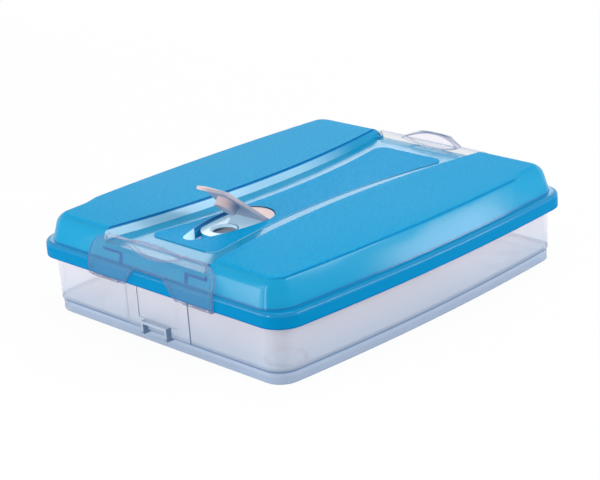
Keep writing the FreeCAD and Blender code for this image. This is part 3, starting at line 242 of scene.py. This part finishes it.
# Soft boxes: a broad one overhead, three behind that the polished slopes and the channel
# mirror, and three small ones in front that pick out the near end. Each has its place, what it
# points at, its size and its power, in metres and watts.
MIDDLE, LONG_SIDE = (0, 0, 0.05), (0.1, 0.02, 0.05)
NEAR_END, NEAR_CORNER = (0.06, -0.12, 0.05), (0.09, -0.12, 0.05)
for name, place, target, size, power in (
        ("overhead", (0.10, 0.10, 1.40), MIDDLE, (1.3, 0.9), 3.9),
        ("behind_left", (-0.82, 0.80, 0.46), MIDDLE, (0.70, 0.34), 1.8),
        ("behind_right_low", (0.92, 0.87, 0.18), LONG_SIDE, (0.30, 0.22), 2.0),
        ("behind_right", (1.01, 0.50, 0.56), MIDDLE, (0.56, 0.38), 5.0),
        ("front_low", (-0.62, -0.84, 0.07), NEAR_END, (0.30, 0.10), 0.5),
        ("front_left", (-0.24, -0.64, 0.17), NEAR_END, (0.26, 0.32), 0.95),
        ("front_strip", (-0.06, -1.10, 0.32), NEAR_CORNER, (0.06, 0.60), 2.6)):
    lamp_data = bpy.data.lights.new(name, "AREA")
    lamp_data.shape = "RECTANGLE"
    lamp_data.size, lamp_data.size_y = size
    lamp_data.energy = power
    lamp = bpy.data.objects.new(name, lamp_data)
    aim = (Vector(target) - Vector(place)).to_track_quat("-Z", "Y").to_matrix().to_4x4()
    lamp.matrix_world = Matrix.Translation(place) @ aim
    bpy.context.scene.collection.objects.link(lamp)


# ---- Tray: one clear polypropylene moulding with a faint frost. Its foot steps in below a thin
# line, and each end has a raised panel, a stacking catch and four ribs that hold a clip's rods.
def smooth_copy(node, name, crease):
    """A node's mesh as one joined skin in place of the node, smooth but for edges that turn by
    more than the crease, in degrees."""
    weld, sliver = 2e-6, 1e-6
    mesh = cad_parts[node].data.copy()
    mesh.name = name
    shape = bmesh.new()
    shape.from_mesh(mesh)
    bmesh.ops.remove_doubles(shape, verts=shape.verts, dist=weld)
    bmesh.ops.dissolve_degenerate(shape, edges=shape.edges, dist=sliver)
    for face in shape.faces:
        face.smooth = True
    for edge in shape.edges:
        edge.smooth = edge.is_manifold and edge.calc_face_angle(0) < math.radians(crease)
    shape.to_mesh(mesh)
    shape.free()
    mesh.materials.clear()
    piece = bpy.data.objects.new(name, mesh)
    bpy.context.scene.collection.objects.link(piece)
    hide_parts(node)
    return piece


def distance(across, along):
    """How far a point is from a spot, in plan, by its offsets from it."""
    return (across * across + along * along).root()


# Sizes are in metres, and follow the tray's box where they belong to its foot or its ends. A pair
# of sizes is a soft edge: the one where a mask starts and the one where it is full. Pairs named
# sideways or upward are parts of the surface's normal, from -1 to 1.
tray_low, tray_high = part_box("tray")
FOOT_TOP = tray_low.z + 0.0078
FOOT_EDGE, FOOT_COVER = (FOOT_TOP + 0.0006, FOOT_TOP - 0.0006), 0.9
STEP_LINE_LOW = (FOOT_TOP - 0.0014, FOOT_TOP - 0.0010)
STEP_LINE_HIGH = (FOOT_TOP + 0.0007, FOOT_TOP + 0.0003)
SOLE_LINE, SOLE_LINE_DEPTH = (0.0014, 0.0006), 0.6
PANEL_FACE = (tray_high.y - 0.0056, tray_high.y - 0.0051)
PANEL_REACH, PANEL_SIDEWAYS = 0.0262, (0.5, 0.8)
CATCH_FACE = (tray_high.y - 0.0035, tray_high.y - 0.0032)
CATCH_TOP = (0.0160, 0.0145)
DIMPLE_X, DIMPLE_Y, DIMPLE_RADIUS = 0.069, 0.088, 0.011
DIMPLE_LINE, DIMPLE_CEILING = 0.0014, 0.007
WALL_LOW, WALL_HIGH, WALL_BLEND = (0.66, 0.74, 0.86), (0.87, 0.84, 0.90), (0.004, 0.034)
# The foot's grey is painted shade under the overhanging wall.
FOOT_SHADE_GREY = (0.44, 0.54, 0.69)
CATCH_GREY = (0.50, 0.58, 0.70)
# This grey draws the panel's sides and the dimples' rings, and is painted shade along the step and
# the sole.
LINE_AND_SHADE_GREY = (0.17, 0.25, 0.38)
DIMPLE_GREY = (0.02, 0.05, 0.12)

clear_plastic, nodes = new_material("clear_plastic")
where = nodes.place()
x, y, z = [nodes.part(where, axis) for axis in "XYZ"]
sideways = abs(nodes.part(nodes.normal(), "X"))
frost = nodes.noise(where, scale=900.0, detail=2.0, roughness=0.6)
cloud = nodes.noise(where, scale=14.0, detail=2.0, roughness=0.5)
foot = z.step(*FOOT_EDGE)
# Painted shade: a dark line under the step, and a fainter one along the sole.
step_and_sole_shade = z.step(*STEP_LINE_LOW) * z.step(*STEP_LINE_HIGH) + z.step(*SOLE_LINE) * SOLE_LINE_DEPTH
panel = abs(y).step(*PANEL_FACE) * (abs(x) < PANEL_REACH)
catch = abs(y).step(*CATCH_FACE) * z.step(*CATCH_TOP)
dimple = distance(abs(x) - DIMPLE_X, abs(y) - DIMPLE_Y)
dimple_line = (abs(dimple - DIMPLE_RADIUS) < DIMPLE_LINE) * (z < DIMPLE_CEILING)
line = (step_and_sole_shade + panel * sideways.step(*PANEL_SIDEWAYS) + dimple_line).clamped()
nodes.surface(nodes.plastic({
    "Base Color": nodes.layers(
        WALL_LOW, (z.step(*WALL_BLEND), WALL_HIGH), (foot * FOOT_COVER, FOOT_SHADE_GREY),
        (catch, CATCH_GREY), (line, LINE_AND_SHADE_GREY), (dimple_line, DIMPLE_GREY)),
    "Roughness": 0.16 + 0.12 * cloud, "Specular IOR Level": 0.35,
    "Alpha": (0.36 + 0.10 * cloud + 0.28 * foot + 0.30 * catch + 0.6 * line).clamped(),
    "Normal": nodes.bump(frost, strength=0.05, distance=0.0002)}))

# Light comes in through the clear walls, so the tray throws no shadow into itself.
tray = smooth_copy("tray", "clear_tray", crease=24)
tray.data.materials.append(clear_plastic)
tray.visible_shadow = False
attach(tray, "tray")


# ---- Lid: one blue translucent moulding that rests on the tray's rim. Its top is satin, its
# slopes and the channel are polished, and the sunk channel holds a raised satin field with the
# vent's pocket.

# The lid's levels, up from its lower edge, and how far its ends reach.
lid_low, lid_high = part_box("lid")
HEM = lid_low.z
SHOULDER = HEM + 0.0088
KEEPER_TOP = HEM + 0.0162
CHANNEL = HEM + 0.0193
PLATEAU = HEM + 0.0245
LID_END = lid_high.y

# The satin plateaus and the raised field, and the darker crest where the plateaus turn down.
PLATEAU_LOW, PLATEAU_UPWARD = (PLATEAU - 0.0022, PLATEAU - 0.0012), (0.80, 0.985)
FIELD_LOW, FIELD_HIGH = (CHANNEL + 0.00025, CHANNEL + 0.00045), (CHANNEL + 0.0012, CHANNEL + 0.0007)
FIELD_UPWARD = (0.90, 0.97)
CREST_LOW, CREST_UPWARD = (PLATEAU - 0.0011, PLATEAU - 0.0003), (0.93, 0.80)

# The skirt below the shoulder, its matt band, its hem, and the line where the slopes rise.
SKIRT_TOP = (SHOULDER + 0.0006, SHOULDER - 0.0006)
BAND_TOP = (SHOULDER - 0.0016, SHOULDER - 0.0026)
HEM_TOP, HEM_DEPTH = (HEM + 0.0010, HEM + 0.0005), 0.7
BASE_LOW, BASE_HIGH = (SHOULDER, SHOULDER + 0.0002), (SHOULDER + 0.0011, SHOULDER + 0.0007)
BASE_UPWARD, BASE_DEPTH = (0.80, 0.60), 0.8

# A keeper, with the sides of its stem and the underside and ends of its bar.
KEEPER_FACE = (LID_END - 0.0066, LID_END - 0.0060)
KEEPER_LOW = (SHOULDER + 0.0004, SHOULDER + 0.0012)
KEEPER_HIGH = (KEEPER_TOP + 0.0018, KEEPER_TOP + 0.0012)
STEM_SIDE, STEM_LINE, STEM_TOP = 0.0268, 0.0016, KEEPER_TOP - 0.0012
BAR_UNDERSIDE, BAR_LINE, BAR_START, BAR_STOP = KEEPER_TOP - 0.0013, 0.0010, 0.0256, 0.0426
BAR_END, BAR_END_LINE = 0.0420, 0.0008
BAR_END_LOW, BAR_END_HIGH = KEEPER_TOP - 0.0018, KEEPER_TOP - 0.00001

# The flank at the channel's left, which faces right, with a painted reflection that makes it pale
# at the near end.
FLANK_LOW, FLANK_HIGH = (CHANNEL - 0.0004, CHANNEL), (PLATEAU - 0.0009, PLATEAU - 0.0013)
FLANK_REACH, FLANK_FADE, FLANK_REFLECTION_SHARE = 0.062, (0.09, 0.02), 0.85
FLANK_UPWARD, FLANK_SIDEWAYS = (0.96, 0.90), (0.10, 0.25)

# The vent's pocket: a round end that runs on to the finger scoop, with dark sides, the steam hole
# with a lip round it, and a painted reflection and painted glow that make its floor, the scoop and
# the hole's wall pale.
POCKET_X, POCKET_Y, POCKET_REACH, POCKET_TIP = -0.003, -0.0415, 0.0158, -0.091
POCKET_TOP, POCKET_FLOOR_UPWARD = (CHANNEL + 0.0004, CHANNEL + 0.0002), (0.60, 0.80)
POCKET_SIDES_LOW, POCKET_SIDES_UPWARD = (CHANNEL - 0.0015, CHANNEL - 0.0011), (0.60, 0.30)
SCOOP_Y = -0.0745
HOLE_Y, HOLE_REACH = -0.0604, 0.0095
HOLE_LOW, HOLE_HIGH = SHOULDER + 0.0002, CHANNEL - 0.0018
LIP_RADIUS, LIP_LINE, LIP_UPWARD = 0.0078, 0.0006, (0.5, 0.7)

POLISHED_BLUE, SATIN_BLUE, FIELD_BLUE = (0.0, 0.35, 0.63), (0.0, 0.31, 0.59), (0.0, 0.30, 0.60)
GRAIN_BLUE, GRAIN_RANGE, GRAIN_COVER = (0.01, 0.40, 0.76), (0.35, 0.65), 0.7
SKIRT_BLUE = (0.0, 0.23, 0.48)
# A painted reflection on the channel's flank.
PAINTED_REFLECTION_BLUE = (0.46, 0.80, 0.99)
# Painted light in the pocket: a painted reflection makes its floor and scoop pale, and the steam
# hole's wall is painted pale too.
POCKET_LIGHT_BLUE = (0.66, 0.90, 1.00)
LINE_BLUE = (0.0, 0.13, 0.40)
# The pocket's painted glow, though it is no lamp.
NO_GLOW, POCKET_PAINTED_GLOW, GLOW_SHARE = (0.0, 0.0, 0.0), (0.60, 0.86, 1.0), 0.22

blue_plastic, nodes = new_material("blue_plastic")
where = nodes.place()
x, y, z = [nodes.part(where, axis) for axis in "XYZ"]
normal = nodes.normal()
rightward, upward = nodes.part(normal, "X"), nodes.part(normal, "Z")
across = abs(x)
plateau = z.step(*PLATEAU_LOW) * upward.step(*PLATEAU_UPWARD)
field = z.step(*FIELD_LOW) * z.step(*FIELD_HIGH) * upward.step(*FIELD_UPWARD)
satin = (plateau + field).clamped()
crest = z.step(*CREST_LOW) * upward.step(*CREST_UPWARD)
skirt, band, hem = z.step(*SKIRT_TOP), z.step(*BAND_TOP), z.step(*HEM_TOP)
base_line = z.step(*BASE_HIGH) * z.step(*BASE_LOW) * upward.step(*BASE_UPWARD)

keeper = abs(y).step(*KEEPER_FACE) * z.step(*KEEPER_LOW) * z.step(*KEEPER_HIGH)
stem_edge = keeper * (abs(across - STEM_SIDE) < STEM_LINE) * (z < STEM_TOP)
bar_edge = keeper * (
    (abs(z - BAR_UNDERSIDE) < BAR_LINE) * (across > BAR_START) * (across < BAR_STOP)
    + (abs(across - BAR_END) < BAR_END_LINE) * (z > BAR_END_LOW) * (z < BAR_END_HIGH))

# Painted reflection: the flank that faces right turns pale towards the near end.
flank_reflection = (z.step(*FLANK_LOW) * z.step(*FLANK_HIGH) * upward.step(*FLANK_UPWARD)
         * (across < FLANK_REACH) * rightward.step(*FLANK_SIDEWAYS) * y.step(*FLANK_FADE))

pocket_across = x - POCKET_X
round_end = distance(pocket_across, y - POCKET_Y) < POCKET_REACH
long_end = (y < POCKET_Y) * (y > POCKET_TIP) * (abs(pocket_across) < POCKET_REACH)
pocket = (round_end + long_end).clamped() * z.step(*POCKET_TOP)
hole = distance(pocket_across, y - HOLE_Y)
hole_wall = (hole < HOLE_REACH) * (z < HOLE_HIGH) * (z > HOLE_LOW)
hole_lip = pocket * (abs(hole - LIP_RADIUS) < LIP_LINE) * upward.step(*LIP_UPWARD)
# Painted light: the pocket's floor, the scoop and the steam hole's wall are painted pale, and glow.
pocket_painted_light = pocket * (upward.step(*POCKET_FLOOR_UPWARD) + (y < SCOOP_Y)).clamped()
pocket_painted_light = (pocket_painted_light + hole_wall).clamped()
pocket_line = (pocket * upward.step(*POCKET_SIDES_UPWARD) * (y > SCOOP_Y)
               * z.step(*POCKET_SIDES_LOW))
pocket_line = (pocket_line + hole_lip).clamped()

grain = nodes.noise(where, scale=700.0, detail=3.0, roughness=0.8)
cloud = nodes.noise(where, scale=9.0, detail=2.0, roughness=0.5)
ripple = nodes.noise(where, scale=60.0, detail=3.0, roughness=0.6)
line = crest + hem * HEM_DEPTH + base_line * BASE_DEPTH + stem_edge + bar_edge + pocket_line
line = line.clamped()
colour = nodes.layers(
    POLISHED_BLUE, (satin, SATIN_BLUE), (field, FIELD_BLUE),
    (satin * grain.step(*GRAIN_RANGE) * GRAIN_COVER, GRAIN_BLUE), (skirt, SKIRT_BLUE),
    (flank_reflection * FLANK_REFLECTION_SHARE, PAINTED_REFLECTION_BLUE), (pocket_painted_light, POCKET_LIGHT_BLUE), (line, LINE_BLUE))
cover = (0.85 + 0.13 * satin + 0.14 * skirt + 0.15 * line).clamped()
polished = nodes.plastic({
    "Base Color": colour, "Roughness": 0.12 + 0.06 * cloud, "Specular IOR Level": 0.22,
    "Alpha": cover, "Normal": nodes.bump(ripple, strength=0.25, distance=0.0004),
    # The painted glow of the pocket's pale parts.
    "Emission Color": nodes.mix(pocket_painted_light * GLOW_SHARE, NO_GLOW, POCKET_PAINTED_GLOW),
    "Emission Strength": 1.0})
matt = nodes.plastic({
    "Base Color": colour, "Roughness": 0.38 + 0.10 * cloud, "Specular IOR Level": 0.025,
    "Alpha": cover, "Normal": nodes.bump(grain * satin, strength=0.8, distance=0.0003)})
nodes.surface(nodes.node("ShaderNodeMixShader", {}, [
    (satin + band + crest).clamped(), polished, matt]))

lid = smooth_copy("lid", "blue_lid", crease=20)
lid.data.materials.append(blue_plastic)
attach(lid, "lid")


# ---- Clips: a bent plate of clear, milky plastic at each short end, with a bead round it, an
# arch between its two legs and a dished finger tab. Each turns on rods in the tray's ribs and
# hooks over a keeper on the lid.
BEAD_SIDEWAYS, BEAD_UPWARD = (0.30, 0.60), (0.72, 0.90)
TAB_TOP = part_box("near_clip")[1].z
TAB_REACH, TAB_HEIGHT, TAB_DROP, TAB_RISE = 0.023, TAB_TOP - 0.0056, 0.0046, 0.0050
DISH_LINE, DISH_LIP = 0.0004, 0.0009
PLATE_GREY, BEAD_GREY = (0.30, 0.36, 0.46), (0.28, 0.34, 0.52)
# Painted light: each dish takes the colour of what lies behind it, the blue lid or the white
# surround.
NEAR_DISH_LID_LIGHT, FAR_DISH_WHITE_LIGHT = (0.50, 0.62, 0.70), (1.0, 0.88, 0.98)

milky_plastic, nodes = new_material("milky_plastic")
where = nodes.place()
x, y, z = [nodes.part(where, axis) for axis in "XYZ"]
normal = nodes.normal()
sideways, upward = abs(nodes.part(normal, "X")), abs(nodes.part(normal, "Z"))
frost = nodes.noise(where, scale=700.0, detail=2.0, roughness=0.6)
bead = (sideways.step(*BEAD_SIDEWAYS) + upward.step(*BEAD_UPWARD)).clamped()

# The dish is lens-shaped: its two edges bow away from one height, the most at the tab's middle.
# The near tab's dish is painted bluish, as painted light through the blue lid behind it, and the
# far one's is painted pale, as painted light from the white behind it.
along_tab = x / TAB_REACH
bow = 1 - along_tab * along_tab
dish_low, dish_high = TAB_HEIGHT - TAB_DROP * bow, TAB_HEIGHT + TAB_RISE * bow
on_tab = abs(x) < TAB_REACH
dish = on_tab * (z > dish_low) * (z < dish_high)
dish_line = on_tab * (abs(z - dish_low) < DISH_LINE)
dish_line = (dish_line + dish * (z > dish_high - DISH_LIP)).clamped()
nodes.surface(nodes.plastic({
    "Base Color": nodes.layers(
        # The dish's colour is painted light that differs between the near and the far clip.
        PLATE_GREY, (dish, nodes.mix(y > 0, NEAR_DISH_LID_LIGHT, FAR_DISH_WHITE_LIGHT)),
        ((bead + dish_line).clamped(), BEAD_GREY)),
    "Roughness": 0.12 + 0.08 * frost, "Specular IOR Level": 0.08,
    "Alpha": (0.10 + 0.46 * bead + 0.12 * dish + 0.38 * dish_line).clamped(),
    "Normal": nodes.bump(frost, strength=0.05, distance=0.0002)}))

for node in ("near_clip", "far_clip"):
    clip = smooth_copy(node, f"milky_{node}", crease=24)
    clip.data.materials.append(milky_plastic)
    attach(clip, node)


# ---- Vent: one soft pale pink moulding, an anchor pressed into the pocket and a flap that swings
# on a living hinge and carries the plug of the steam hole.
PINK, PALE_PINK = (0.64, 0.49, 0.49), (0.70, 0.54, 0.53)
# Faces that point down get painted shade, tinted bluish by a painted reflection of the lid.
PAINTED_SHADE_PINK, SHADED_UPWARD = (0.37, 0.38, 0.47), (0.40, -0.10)

pink_plastic, nodes = new_material("pink_plastic")
mottle = nodes.noise(nodes.place(), scale=600.0, detail=2.0, roughness=0.5)
upward = nodes.part(nodes.normal(), "Z")
nodes.surface(nodes.plastic({
    "Base Color": nodes.layers(
        # Painted shade on the faces that point down.
        PINK, (mottle, PALE_PINK), (upward.step(*SHADED_UPWARD), PAINTED_SHADE_PINK)),
    "Roughness": 0.42, "IOR": 1.45,
    "Normal": nodes.bump(mottle, strength=0.08, distance=0.0002)}))

for node, body in (("vent_anchor", "lid"), ("vent_flap", "vent_flap")):
    piece = smooth_copy(node, f"pink_{node}", crease=24)
    piece.data.materials.append(pink_plastic)
    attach(piece, body)
